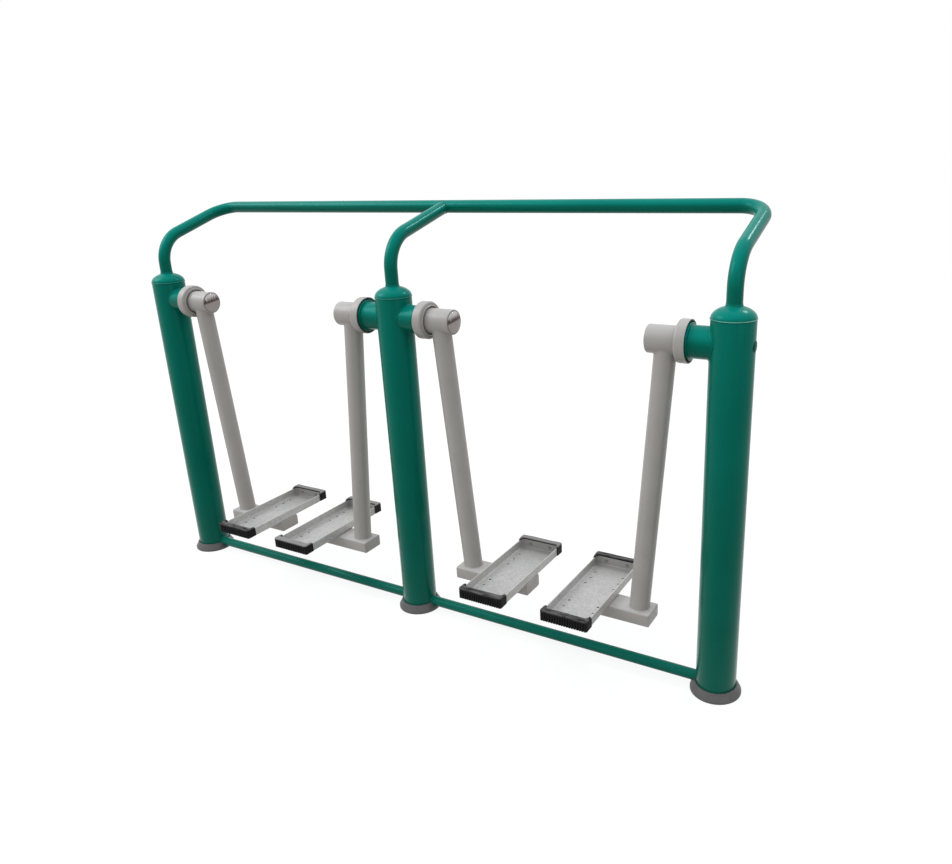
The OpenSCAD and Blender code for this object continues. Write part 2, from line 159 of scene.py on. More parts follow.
# From here on, lengths in capitals are in millimetres, and those that end in _M in metres.
SPAN = 1060.0
POSTS = {"left": -SPAN, "middle": 0.0, "right": SPAN}
POST_R, POST_WALL, POST_EDGE, POST_FOOT, POST_TOP = 57.0, 3.0, 0.8, 4.0, 1085.0
SHARP = math.radians(38)


def grid_quads(rows, columns, rows_close, columns_close):
    """The four corner numbers of each face between rows of points. Where rows or columns close,
    the last is joined to the first."""
    i, j = np.meshgrid(np.arange(rows - (not rows_close)), np.arange(columns - (not columns_close)),
                       indexing="ij")
    k, l = (i + 1) % rows, (j + 1) % columns
    corners = [i * columns + j, k * columns + j, k * columns + l, i * columns + l]
    return np.stack(corners, -1).reshape(-1, 4)


def smoothed(mesh):
    """Shades a mesh smooth, with edges sharper than 38 degrees kept sharp."""
    mesh.polygons.foreach_set("use_smooth", np.ones(len(mesh.polygons), bool))
    mesh.set_sharp_from_angle(angle=SHARP)


def closed_mesh(shells):
    """One mesh from closed shells in millimetres: like points of a shell are merged, its faces
    turned outwards, and edges sharper than 38 degrees kept sharp."""
    whole = bmesh.new()
    for points, rows_close, columns_close in shells:
        rows, columns = points.shape[:2]
        quads = grid_quads(rows, columns, rows_close, columns_close)
        one = bpy.data.meshes.new("shell")
        one.from_pydata((points.reshape(-1, 3) * 0.001).tolist(), [], quads.tolist())
        b = bmesh.new()
        b.from_mesh(one)
        bmesh.ops.remove_doubles(b, verts=b.verts, dist=2e-6)
        bmesh.ops.recalc_face_normals(b, faces=b.faces)
        b.to_mesh(one)
        b.free()
        whole.from_mesh(one)
        bpy.data.meshes.remove(one)
    mesh = bpy.data.meshes.new("surface")
    whole.to_mesh(mesh)
    whole.free()
    smoothed(mesh)
    return mesh


def piece(name, shells, body, nodes, finish):
    """A piece from closed shells, with its finish, that stands for CAD nodes and rides on a body."""
    mesh = closed_mesh(shells)
    mesh.name = name
    mesh.materials.append(finish)
    obj = bpy.data.objects.new(name, mesh)
    bpy.context.scene.collection.objects.link(obj)
    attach(obj, body)
    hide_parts(*nodes)


def filleted(corners, radii, steps, closed=False):
    """A line through corners, in two or three dimensions, with an arc of the given radius at each:
    the arc starts and ends at radius / tan(half the corner's angle) from the corner."""
    p = np.asarray(corners, float)
    out = []
    for i, r in enumerate(radii):
        if r <= 0 or (not closed and i in (0, len(p) - 1)):
            out.append(p[i:i + 1])
            continue
        u, v = p[i - 1] - p[i], p[(i + 1) % len(p)] - p[i]
        u, v = u / np.linalg.norm(u), v / np.linalg.norm(v)
        half = math.acos(np.clip(u @ v, -1, 1)) / 2
        centre = p[i] + (u + v) / np.linalg.norm(u + v) * r / math.sin(half)
        start = p[i] + u * r / math.tan(half) - centre
        a = np.linspace(0, math.pi - 2 * half, steps + 1)[:, None]
        out.append(centre + np.cos(a) * start - np.sin(a) * r * u)
    return np.concatenate(out)


def turned(profile, along="z", at=(0, 0, 0), closed=True, segments=96):
    """Carries a profile of (distance from an axis, place along it) round that axis: each point
    goes to at + distance * (cos a, sin a) across the axis + place along it."""
    r, t = np.asarray(profile, float).T
    a = np.linspace(0, 2 * np.pi, segments, endpoint=False)
    c, s, t = r[:, None] * np.cos(a), r[:, None] * np.sin(a), np.repeat(t[:, None], segments, 1)
    order = {"z": (c, s, t), "x": (t, c, s)}[along]
    return np.stack(order, -1) + np.asarray(at, float), closed, True


def new_finish(name):
    """A material with an empty tree, that tree, and its Object coordinates."""
    finish = bpy.data.materials.new(name)
    finish.use_nodes = True
    finish.node_tree.nodes.clear()
    return finish, finish.node_tree, add(finish.node_tree, "ShaderNodeTexCoord").outputs["Object"]


def noise(tree, place, scale, detail, roughness=0.5):
    """Noise from 0 to 1 at a place, with scale patches to the metre."""
    inputs = {"Vector": place, "Scale": scale, "Detail": detail, "Roughness": roughness}
    return add(tree, "ShaderNodeTexNoise", inputs).outputs["Fac"]


def blend(tree, share, first, second):
    """The first colour where share is 0 and the second where it is 1: hex codes or sockets."""
    first, second = (linear(c) if isinstance(c, str) else c for c in (first, second))
    mix = add(tree, "ShaderNodeMix", {"Factor": share, "A": first, "B": second}, data_type="RGBA")
    return mix.outputs["Result"]


def raised(tree, height, strength, distance):
    """The normal of a surface that a height raises by distance, in metres, at a strength."""
    inputs = {"Height": height, "Strength": strength, "Distance": distance}
    return add(tree, "ShaderNodeBump", inputs).outputs[0]


def shade(tree, inputs):
    """Ends a tree in one Principled surface with these inputs."""
    skin = add(tree, "ShaderNodeBsdfPrincipled", inputs)
    add(tree, "ShaderNodeOutputMaterial", {"Surface": skin.outputs[0]})


# Powder coat on steel: an even, deep colour under a glossy skin with a faint orange peel,
# a little drift in tone and dust near the ground. Painted light: faces that look up are
# paler, the more so higher up, as light from the sky would make them.
green_paint, tree, place = new_finish("glossy_green_powder_coat")
drift = noise(tree, place, 5.0, 3.0, 0.6)
side_tone = blend(tree, drift, "#015748", "#016857")
top_lit_tone = blend(tree, drift, "#03776B", "#06897C")
facing = add(tree, "ShaderNodeSeparateXYZ", {0: add(tree, "ShaderNodeTexCoord").outputs["Normal"]})
upward = remap(tree, facing.outputs["Z"], -0.1, 0.6, interpolation_type="SMOOTHSTEP")
high = add(tree, "ShaderNodeSeparateXYZ", {0: place})
open_sky = remap(tree, high.outputs["Z"], 0.1, 0.9, 0.15, 1.0)
# Painted top light: up-facing surfaces, more so higher up, blend to the paler top tone.
painted_top_light = calc(tree, "MULTIPLY", upward, open_sky)
body_tone = blend(tree, painted_top_light, side_tone, top_lit_tone)
near_ground = remap(tree, high.outputs["Z"], 0.02, 0.22, 0.06, 0.0)
dust_grain = noise(tree, place, 38.0, 6.0, 0.7)
dust = calc(tree, "MULTIPLY", near_ground, dust_grain)
dusted = blend(tree, dust, body_tone, "#7E9A90")
# Painted highlight: a pale line along the raised weld line under each post's cap, faint on
# all posts and strongest on the right side of the right post.
SEAM_HIGHLIGHT_UP = 2.2
on_seam = calc(tree, "COMPARE", high.outputs["Z"], (POST_TOP + SEAM_HIGHLIGHT_UP) * 0.001, 0.001)
wear_and_seam_highlight = remap(tree, high.outputs["X"], 1.01, 1.06, 0.15, 0.6)
pale = calc(tree, "MULTIPLY", on_seam, wear_and_seam_highlight)
tone = blend(tree, pale, dusted, "#8CC4B8")
gloss = remap(tree, dust_grain, 0.3, 0.7, 0.2, 0.25)
peel = noise(tree, place, 200.0, 1.0)
peel_bump = raised(tree, peel, 0.01, 0.0005)
shade(tree, {"Base Color": tone, "Roughness": gloss, "Normal": peel_bump, "IOR": 1.5,
             "Specular IOR Level": 0.14, "Specular Tint": (0.25, 1.0, 0.93, 1)})

for side, x in POSTS.items():
    inner = POST_R - POST_WALL
    wall = filleted([(POST_R, POST_FOOT), (POST_R, POST_TOP), (inner, POST_TOP), (inner, POST_FOOT)],
                    [POST_EDGE] * 4, 3, closed=True)
    piece(f"post_tube_{side}", [turned(wall, at=(x, 0, 0), segments=128)], "frame", [f"post_{side}"],
          green_paint)

# Post caps. Pressed steel domes, welded round the top of each post and ground nearly
# smooth, so that a thin raised line shows. The handrail is welded into the crown.
CAP_H, RAIL_R = 34.0, 20.6
DOME_R, DOME_FROM, DOME_RISE, DOME_BOW = 57.4, 1.5, 32.5, math.radians(66)
NECK_H, NECK_FILLET = 5, 7
DOME_INSIDE = [(38, 20), (53, 8), (53, 0)]
SEAM_UP, SEAM_R = 1.2, 1.5


def rippled(points, size, seed):
    """The radius of a weld's bead at each point of its path: size * (1 + a quick sine for the
    ripples + two slow sines that start at a place that the seed gives)."""
    s = np.linspace(0, 2 * np.pi, len(points), endpoint=False)
    turns = max(12, int(len(points) / 4))
    slow = 0.12 * np.sin(5 * s + seed) + 0.08 * np.sin(11 * s + 2 * seed)
    return size * (1 + 0.09 * np.sin(turns * s) + slow)


def swept(path, radius, closed=False, segments=48, across=(0.2, -1.0, 0.3)):
    """Carries a circle along a path: at each point two vectors across the path's direction
    span the circle, point + radius * (cos a * U + sin a * V). Open ends are closed flat."""
    p = np.asarray(path, float)
    d = np.roll(p, -1, 0) - np.roll(p, 1, 0) if closed else np.gradient(p, axis=0)
    d /= np.linalg.norm(d, axis=1, keepdims=True)
    u = np.cross(d, np.asarray(across, float))
    u /= np.linalg.norm(u, axis=1, keepdims=True)
    v = np.cross(d, u)
    r = np.broadcast_to(radius, len(p)).astype(float)
    if not closed:
        pick = np.r_[0, np.arange(len(p)), len(p) - 1]
        p, u, v, r = p[pick], u[pick], v[pick], np.r_[0, r, 0]
    a = np.linspace(0, 2 * np.pi, segments, endpoint=False)[None, :, None]
    rings = p[:, None] + r[:, None, None] * (np.cos(a) * u[:, None] + np.sin(a) * v[:, None])
    return rings, closed, True


def ring_path(r, centre, count=240):
    """A level circle of points round centre."""
    a = np.linspace(0, 2 * np.pi, count, endpoint=False)
    return np.stack((r * np.cos(a), r * np.sin(a), 0 * a), -1) + np.asarray(centre, float)


for side, x in POSTS.items():
    bow = np.linspace(0, DOME_BOW, 18)
    outside = np.stack([DOME_R * np.cos(bow), DOME_FROM + DOME_RISE * np.sin(bow)], 1)
    neck_corners = [tuple(outside[-1]), (RAIL_R + 1.5, CAP_H - 1), (RAIL_R + 0.3, CAP_H + NECK_H)]
    neck = filleted(neck_corners, (0, NECK_FILLET, 0), 8)[1:]
    inside = [(RAIL_R - 1, CAP_H + NECK_H), (RAIL_R - 1, CAP_H - 6)] + DOME_INSIDE
    crown = np.concatenate([[(POST_R - 1, 0), (POST_R + 0.2, 0.4)], outside, neck, inside])
    dome = turned(crown, at=(x, 0, POST_TOP), segments=128)
    seam = ring_path(POST_R + 0.1, (x, 0, POST_TOP + SEAM_UP))
    bead = swept(seam, rippled(seam, SEAM_R, x), closed=True, segments=12, across=(0, 0, 1))
    piece(f"post_dome_{side}", [dome, bead], "frame", [f"post_cap_{side}"], green_paint)

# Feet. Flared steel rings, painted dark grey, that close the foot of each post. The
# upper lip is turned in against the post, and the flank runs down to an upright rim.

# Enamel that shoes and grit have dulled: warm dark grey, cloudy, with paler scuffs.
foot_paint, tree, place = new_finish("dark_grey_enamel")
cloud = noise(tree, place, 26.0, 5.0, 0.65)
foot_tone = blend(tree, cloud, "#4B4849", "#615E5F")
grit = noise(tree, place, 500.0, 3.0)
scuff = remap(tree, grit, 0.56, 0.72, 0.0, 0.35)
foot_worn = blend(tree, scuff, foot_tone, "#8A8886")
foot_bump = raised(tree, grit, 0.25, 0.0005)
shade(tree, {"Base Color": foot_worn, "Roughness": 0.48, "Normal": foot_bump, "IOR": 1.5})

RIM_R, RIM_H = 73, 7
FLANK_R, FLANK_H = 64, 22.5
LIP_R, LIP_H, LIP_GAP = 62, 27.2, 0.3
for side, x in POSTS.items():
    inner = POST_R + LIP_GAP
    ring = filleted([(0, 0), (RIM_R, 0), (RIM_R, RIM_H), (FLANK_R, FLANK_H), (LIP_R, LIP_H),
                     (inner, LIP_H), (inner, POST_FOOT), (0, POST_FOOT)],
                    (0, 1.2, 5, 2.5, 2.4, 1.2, 0.5, 0), 6)
    piece(f"foot_ring_{side}", [turned(ring, at=(x, 0, 0), closed=False, segments=128)], "frame",
          [f"foot_{side}"], foot_paint)

# Handrail. One tube, 41 mm over its paint, bent at both ends: up out of the caps, over a
# knee, out to the grip and round a corner into the long straight that both users hold.
GRIP_Y, GRIP_Z = 305.0, 1334.0
KNEE_Z, KNEE_R, CORNER_R = 1234.0, 110.0, 80.0
RAIL_START = POST_TOP + CAP_H - 2
corners = [(-SPAN, 0, RAIL_START), (-SPAN, 0, KNEE_Z), (-SPAN, GRIP_Y, GRIP_Z),
           (SPAN, GRIP_Y, GRIP_Z), (SPAN, 0, KNEE_Z), (SPAN, 0, RAIL_START)]
rail_line = filleted(corners, (0, KNEE_R, CORNER_R, CORNER_R, KNEE_R, 0), 24)
piece("handrail_tube", [swept(rail_line, RAIL_R, segments=64)], "frame", ["handrail"],
      green_paint)

# Middle upright. The same tube bent over one knee, its end coped to the grip and welded
# to its near side with a bead that follows the saddle between the two tubes.
MID_KNEE_Z = 1253.0


def saddle(base, way, tube_r, axis_point, axis_way, bar_r, near, count=160):
    """The line where a tube meets a round bar. For each angle round the tube, the distance s
    along it solves |across(base + rim + s * way - axis_point)| = bar_r, a quadratic in s."""
    base, way, o, w = (np.asarray(q, float) for q in (base, way, axis_point, axis_way))
    way, w = way / np.linalg.norm(way), w / np.linalg.norm(w)
    u = np.cross(way, w)
    u /= np.linalg.norm(u)
    v = np.cross(way, u)
    a = np.linspace(0, 2 * np.pi, count, endpoint=False)[:, None]
    q = base + tube_r * (np.cos(a) * u + np.sin(a) * v)
    f = (q - o) - ((q - o) @ w)[:, None] * w
    g = way - (way @ w) * w
    b, c = f @ g, (f * f).sum(1) - bar_r ** 2
    root = np.sqrt(np.maximum(b * b - (g @ g) * c, 0))
    s = (-b + (-root if near else root)) / (g @ g)
    return q + s[:, None] * way


strut_line = filleted([(0, 0, RAIL_START), (0, 0, MID_KNEE_Z), (0, GRIP_Y, GRIP_Z)], (0, KNEE_R, 0), 24)
reach = strut_line[-1] - strut_line[-2]
join = saddle((0, GRIP_Y, GRIP_Z), reach, RAIL_R - 0.5, (0, GRIP_Y, GRIP_Z), (1, 0, 0), RAIL_R, near=True)
bead = swept(join, rippled(join, 2.4, 1.0), closed=True, segments=14, across=(0.1, 0.3, 1))
# The tube stops short of the grip's axis, inside the grip.
STRUT_SHORT = 6
strut_line[-1] -= reach / np.linalg.norm(reach) * STRUT_SHORT
piece("middle_upright", [swept(strut_line, RAIL_R, segments=64), bead], "frame", ["handrail_strut"],
      green_paint)

# Low rails. Straight 33 mm tubes that tie the posts together, welded to the posts at the
# height of the feet.
LOW_R, LOW_Z, LOW_HALF = 16.5, 28.5, 478
for side, x in (("left", -SPAN / 2), ("right", SPAN / 2)):
    ends = [(x - LOW_HALF, 0, LOW_Z), (x + LOW_HALF, 0, LOW_Z)]
    shells = [swept(np.linspace(ends[0], ends[1], 41), LOW_R, segments=48, across=(0, -1, 0.3))]
    for s, post in ((-1, x - SPAN / 2), (1, x + SPAN / 2)):
        join = saddle((post, 0, LOW_Z), (-s, 0, 0), LOW_R - 0.4, (post, 0, 0), (0, 0, 1), POST_R,
                      near=False, count=96)
        shells.append(swept(join, rippled(join, 1.8, s), closed=True, segments=10, across=(1, 0, 0)))
    piece(f"low_tie_rail_{side}", shells, "frame", [f"low_rail_{side}"], green_paint)

# Stubs. Short 86 mm tubes, coped and welded to the posts, each ending in a round flange
# that carries the axle and shuts off the back of the bearing housing.
WALKER_POST, WALKER_SIDE = (-SPAN, 0.0, 0.0, SPAN), (1, -1, 1, -1)
PIVOT_Z = 1020.0
STUB_X, STUB_R, FLANGE_R, FLANGE_X, FLANGE_T = 30, 43.0, 49.5, 110.0, 7.0


def placed(shell, i):
    """A shell made at post 0 with +X towards its bay, moved to walker i: X = post + side * x."""
    points, rows_close, columns_close = shell
    return points * (WALKER_SIDE[i], 1, 1) + (WALKER_POST[i], 0, 0), rows_close, columns_close


for i in range(4):
    back = FLANGE_X - FLANGE_T
    section = filleted([(0, STUB_X), (STUB_R, STUB_X), (STUB_R, back), (FLANGE_R, back),
                        (FLANGE_R, FLANGE_X), (0, FLANGE_X)], (0, 0, 2.5, 2.2, 2.0, 0), 6)
    tube = turned(section, "x", (0, 0, PIVOT_Z), closed=False, segments=96)
    join = saddle((0, 0, PIVOT_Z), (1, 0, 0), STUB_R - 0.6, (0, 0, 0), (0, 0, 1), POST_R,
                  near=False, count=200)
    bead = swept(join, rippled(join, 2.6, i), closed=True, segments=14, across=(1, 0, 0))
    piece(f"stub_tube_{i + 1}", [placed(tube, i), placed(bead, i)], "frame", [f"stub_{i + 1}"],
          green_paint)

# Collars and hubs. The hub tube turns on its two bearings; the collar is a cup welded
# round its inner end that covers the flange. Both have the legs' grey powder coat.
COLLAR_X, COLLAR_L, COLLAR_R, COLLAR_WALL, COLLAR_BACK = 107.4, 30.0, 57.5, 3.0, 6.0
HUB_X, HUB_L, HUB_R, BORE_R, HUB_WELD = 114.0, 102.0, 38.0, 31.0, 9
HUB_END = HUB_X + HUB_L + 6
SEAT_R = BORE_R + 3.6

# Satin powder coat: a light warm grey with soft patches, fine specks of grit and a few
# rust-tinted stains that have run from the welds. Painted light: faces that look up are paler.
grey_paint, tree, place = new_finish("satin_grey_powder_coat")
patch = noise(tree, place, 9.0, 4.0, 0.6)
grey_tone = blend(tree, patch, "#98938F", "#AAA5A0")
run = add(tree, "ShaderNodeMapping", {"Vector": place, "Scale": (22.0, 22.0, 9.0)})
stain = noise(tree, run.outputs[0], 1.0, 6.0, 0.65)
stained = remap(tree, stain, 0.58, 0.78, 0.0, 0.4)
facing = add(tree, "ShaderNodeSeparateXYZ", {0: add(tree, "ShaderNodeTexCoord").outputs["Normal"]})
# Painted top light: faces that look up blend towards a paler grey.
painted_top_light = remap(tree, facing.outputs["Z"], 0.2, 0.95, 0.0, 0.8)
grey_top_lit = blend(tree, painted_top_light, grey_tone, "#B9B7B5")
grey_stained = blend(tree, stained, grey_top_lit, "#8E8580")
speck = noise(tree, place, 420.0, 2.0)
gloss = remap(tree, speck, 0.3, 0.7, 0.34, 0.46)
peel_bump = raised(tree, speck, 0.12, 0.0004)
shade(tree, {"Base Color": grey_stained, "Roughness": gloss, "Normal": peel_bump, "IOR": 1.5})

for i in range(4):
    body = f"walker_{i + 1}"
    rim, back = COLLAR_X, COLLAR_X + COLLAR_L
    inner, floor_x = COLLAR_R - COLLAR_WALL, back - COLLAR_BACK
    cup = filleted([(inner, rim), (COLLAR_R, rim), (COLLAR_R, back), (HUB_R + HUB_WELD, back),
                    (HUB_R, back + HUB_WELD), (HUB_R, floor_x), (inner, floor_x)],
                   (0.9, 1.1, 6.5, HUB_WELD, HUB_WELD, 0.4, 3), 8, closed=True)
    piece(f"collar_cup_{i + 1}", [placed(turned(cup, "x", (0, 0, PIVOT_Z), segments=96), i)], body,
          [f"collar_{i + 1}"], grey_paint)
    barrel = filleted([(BORE_R, HUB_X), (HUB_R, HUB_X), (HUB_R, HUB_END), (SEAT_R, HUB_END),
                       (BORE_R + 2.8, HUB_END - 1), (BORE_R, HUB_END - 1)],
                      (0.5, 0.5, 2.6, 0.6, 0.2, 0.3), 6, closed=True)
    piece(f"hub_tube_{i + 1}", [placed(turned(barrel, "x", (0, 0, PIVOT_Z), segments=96), i)], body,
          [f"hub_{i + 1}"], grey_paint)

# Hub caps. Bright pressed discs, slightly domed, that close the free end of each hub.

# Polished sheet: bright at the top, with a ragged dark brown band just above the middle and
# a duller, warm grey below it, all a painted reflection of the surroundings. Its roughness
# varies in ragged streaks.
reflection_painted_cap, tree, place = new_finish("polished_steel_with_painted_reflection")
there = add(tree, "ShaderNodeSeparateXYZ", {0: place})
slope = calc(tree, "MULTIPLY_ADD", there.outputs["Y"], -0.13, there.outputs["Z"])
streaks = add(tree, "ShaderNodeMapping", {"Vector": place, "Scale": (1, 170, 45)})
ragged = noise(tree, streaks.outputs[0], 1.0, 3.0, 0.6)
ragged_edge = calc(tree, "MULTIPLY_ADD", ragged, -0.028, slope)
MIDDLE_M = PIVOT_Z * 0.001
below = remap(tree, slope, MIDDLE_M, MIDDLE_M + 0.005)
above = remap(tree, ragged_edge, MIDDLE_M - 0.004, MIDDLE_M + 0.011)
# Painted reflection: warm grey below the middle, a dark band above it, bright at the top.
painted_reflection_band = blend(tree, below, "#857E7B", "#4A413F")
painted_reflection_tone = blend(tree, above, painted_reflection_band, "#BAB6B7")
rub = remap(tree, ragged, 0.3, 0.7, 0.12, 0.26)
shade(tree, {"Base Color": painted_reflection_tone, "Roughness": rub, "Metallic": 1.0})

DISC_R, DISC_INSET, DISC_RIM, DISC_FLAT_R, DISC_BULGE = BORE_R + 2.4, 3, 1.2, 14, 3.5
for i in range(4):
    inset = HUB_END - DISC_INSET
    disc = filleted([(0, inset), (BORE_R - 0.3, inset), (DISC_R, HUB_END - 0.4), (DISC_R, HUB_END + DISC_RIM),
                     (DISC_FLAT_R, HUB_END + DISC_BULGE - 0.3), (0, HUB_END + DISC_BULGE)],
                    (0, 0.5, 0.4, 1.2, 30, 0), 6)
    piece(f"hub_end_disc_{i + 1}", [placed(turned(disc, "x", (0, 0, PIVOT_Z), closed=False, segments=96), i)],
          f"walker_{i + 1}", [f"hub_cap_{i + 1}"], reflection_painted_cap)

# Legs. Lengths of 60 mm tube that lean a little into the bay, coped under the hubs and
# welded all round, and welded flat on the arms. The welds are painted over.
LEG_R, LEG_X, LEAN, LEG_FILLET = 30.0, 172.0, math.radians(4.6), 5.0
TRAY_Z = 211.0


def leg_surface():
    """A leaning tube: each ring runs round the leg, and its points slide along it from the
    saddle under the hub to the arm's flat top. A fillet widens it by a quarter circle at
    both ends, and the last rings close it inside its neighbours."""
    down = np.array([math.sin(LEAN), 0, -math.cos(LEAN)])
    a = np.linspace(0, 2 * np.pi, 72, endpoint=False)
    u = np.array([math.cos(LEAN), 0, math.sin(LEAN)])
    rim = np.cos(a)[:, None] * u + np.sin(a)[:, None] * np.array([0, 1, 0])
    f = np.linspace(0, np.pi / 2, 7)
    grow, sink = LEG_FILLET * (1 - np.sin(f)), LEG_FILLET * (1 - np.cos(f))
    base = np.array([LEG_X, 0, PIVOT_Z])

    def along(r, side):
        """How far along the leg a rim of radius r meets the hub, or the arm's top."""
        q = r * rim
        if side == "hub":
            reach = np.sqrt(np.maximum((HUB_R - 0.6) ** 2 - q[:, 1] ** 2, 40.0))
            return reach / math.cos(LEAN) + q[:, 2] / math.cos(LEAN)
        return (base[2] + q[:, 2] - (TRAY_Z - 0.4)) / math.cos(LEAN)

    rows = [base + down * along(1.0, "hub").mean() * 0.85 + 0 * rim]
    for g, dz in zip(grow, sink):
        r = LEG_R + g
        rows.append(base + r * rim + (along(r, "hub") + dz)[:, None] * down)
    top, bottom = along(LEG_R, "hub") + LEG_FILLET, along(LEG_R, "arm") - LEG_FILLET
    for share in np.linspace(0, 1, 14)[1:-1]:
        rows.append(base + LEG_R * rim + (top + (bottom - top) * share)[:, None] * down)
    for g, dz in zip(grow[::-1], sink[::-1]):
        r = LEG_R + g
        rows.append(base + r * rim + (along(r, "arm") - dz)[:, None] * down)
    rows.append(base + down * (along(1.0, "arm").mean() + 1.0) + 0 * rim)
    return np.stack(rows), False, True


for i in range(4):
    piece(f"leg_tube_{i + 1}", [placed(leg_surface(), i)], f"walker_{i + 1}", [f"leg_{i + 1}"],
          grey_paint)

# Arms. Box section with round edges, closed by welded end plates, that carries the leg
# at one end and the tray at the other.
FOOT_X = LEG_X + (PIVOT_Z - TRAY_Z) * math.tan(LEAN)
PEDAL_X = FOOT_X + 152.5
ARM_W, ARM_H, ARM_EDGE, ARM_END_EDGE, ARM_PAST_LEG = 80.0, 40.0, 5.0, 2.2, 43
TRAY_W = 144.0


def box_bar(x0, x1, w, h, z, edge, end_edge):
    """A bar along X: a rectangle with round corners is carried from end to end. Near an end it
    shrinks by end_edge * (1 - sin) while it moves in by end_edge * (1 - cos)."""
    corners = [(w / 2, h / 2), (-w / 2, h / 2), (-w / 2, -h / 2), (w / 2, -h / 2)]
    section = filleted(corners, [edge] * 4, 6, closed=True)
    f = np.linspace(0, np.pi / 2, 6)
    inset = np.r_[end_edge * (1 - np.sin(f)), np.zeros(10), end_edge * (1 - np.sin(f[::-1]))]
    place = np.r_[x0 + end_edge * (1 - np.cos(f)), np.linspace(x0 + end_edge, x1 - end_edge, 12)[1:-1],
                  x1 - end_edge * (1 - np.cos(f[::-1]))]
    scale = 1 - inset[:, None, None] / np.array([w / 2, h / 2])
    middle = np.zeros((1, len(section), 2))
    rows = np.concatenate([middle, section * scale, middle])
    place = np.r_[x0, place, x1]
    x = np.repeat(place[:, None], len(section), 1)
    return np.stack([x, rows[..., 0], rows[..., 1] + z], -1), False, True


for i in range(4):
    bar = box_bar(FOOT_X - ARM_PAST_LEG, PEDAL_X + TRAY_W / 2, ARM_W, ARM_H, TRAY_Z - ARM_H / 2,
                  ARM_EDGE, ARM_END_EDGE)
    piece(f"arm_bar_{i + 1}", [placed(bar, i)], f"walker_{i + 1}", [f"arm_{i + 1}"],
          grey_paint)

# Trays. Galvanised sheet folded into a shallow pan, with two rows of drain holes that
# leave out the stretch over the arm. Shoes have rubbed the floor bright and left a grubby
# film, and it is darker towards the far end.
TRAY_L, TRAY_H, SHEET, BEND = 371.0, 30.5, 3.0, 3.0
DRAIN_R, DRAIN_X, DRAIN_Y = 3.0, 47.5, tuple(47.5 + 37.5 * k for k in (-4, -3, 0, 1, 2))
PATCH_HALF, PATCH_STEPS = 6, np.array([-6, -3, 0, 3, 6.0])

# Hot-dip zinc gone dull: pale grey with the faint flakes of its crystals, 8 to 15 mm
# across, a patchy grubby film, a darker tone towards the far end, dark nicks, and a bright
# cut edge.
zinc, tree, place = new_finish("weathered_galvanised_sheet")
flake = add(tree, "ShaderNodeTexVoronoi", {"Vector": place, "Scale": 85.0, "Randomness": 1.0}, feature="F1")
flake_tone = add(tree, "ShaderNodeSeparateColor", {0: flake.outputs["Color"]})
mottle = noise(tree, place, 240.0, 3.0, 0.6)
mottled = remap(tree, mottle, 0.35, 0.65, 0.0, 0.75)
grain = calc(tree, "MULTIPLY_ADD", flake_tone.outputs[0], 0.25, mottled)
zinc_tone = blend(tree, grain, "#AAA9A8", "#CBCAC9")
film = noise(tree, place, 14.0, 6.0, 0.68)
there = add(tree, "ShaderNodeSeparateXYZ", {0: place})
# Darker towards the far end of the pan.
far_end = remap(tree, there.outputs["Y"], 0.09, 0.172, 0.0, 0.75)
grubby = remap(tree, film, 0.45, 0.75, 0.0, 0.22)
film_and_far_end = calc(tree, "ADD", far_end, grubby, use_clamp=True)
zinc_darker = blend(tree, film_and_far_end, zinc_tone, "#A3A19D")
nick = noise(tree, place, 150.0, 2.0)
nicked = remap(tree, nick, 0.66, 0.74, 0.0, 0.35)
zinc_nicked = blend(tree, nicked, zinc_darker, "#77736F")
WALL_TOP_M = (TRAY_Z + TRAY_H) * 0.001
lip = remap(tree, there.outputs["Z"], WALL_TOP_M - 0.0014, WALL_TOP_M - 0.0006, 0.0, 0.8)
zinc_edged = blend(tree, lip, zinc_nicked, "#C9C8C4")
zinc_rough = remap(tree, film, 0.3, 0.7, 0.5, 0.68)
zinc_bump = raised(tree, flake_tone.outputs[1], 0.12, 0.0005)
shade(tree, {"Base Color": zinc_edged, "Roughness": zinc_rough, "Normal": zinc_bump, "Metallic": 0.5})

# Painted shade in each drain hole and on the narrow chamfer round it: a mottled, dark
# brown-grey.
hole_painted_shade, tree, place = new_finish("painted_shade_in_drain_holes")
hole_mottle = noise(tree, place, 500.0, 3.0)
hole_shade_tone = blend(tree, hole_mottle, "#2C2926", "#5E5852")
hole_shade_bump = raised(tree, hole_mottle, 0.3, 0.0005)
shade(tree, {"Base Color": hole_shade_tone, "Roughness": 0.85, "Normal": hole_shade_bump,
             "Specular IOR Level": 0.2})


def floor_lines(holes, limit):
    """Places of the grid lines of the pan's floor, from -limit to limit: five through the 12 mm
    square of each hole, and about every 12 mm elsewhere, none closer than 4 mm to those."""
    marks = np.concatenate([h + PATCH_STEPS for h in holes])
    wide = np.linspace(-limit, limit, int(limit / 6))
    keep = [w for w in wide
            if np.abs(marks - w).min() > 4 and not any(abs(w - h) < PATCH_HALF for h in holes)]
    return np.unique(np.r_[marks, keep, -limit, limit])


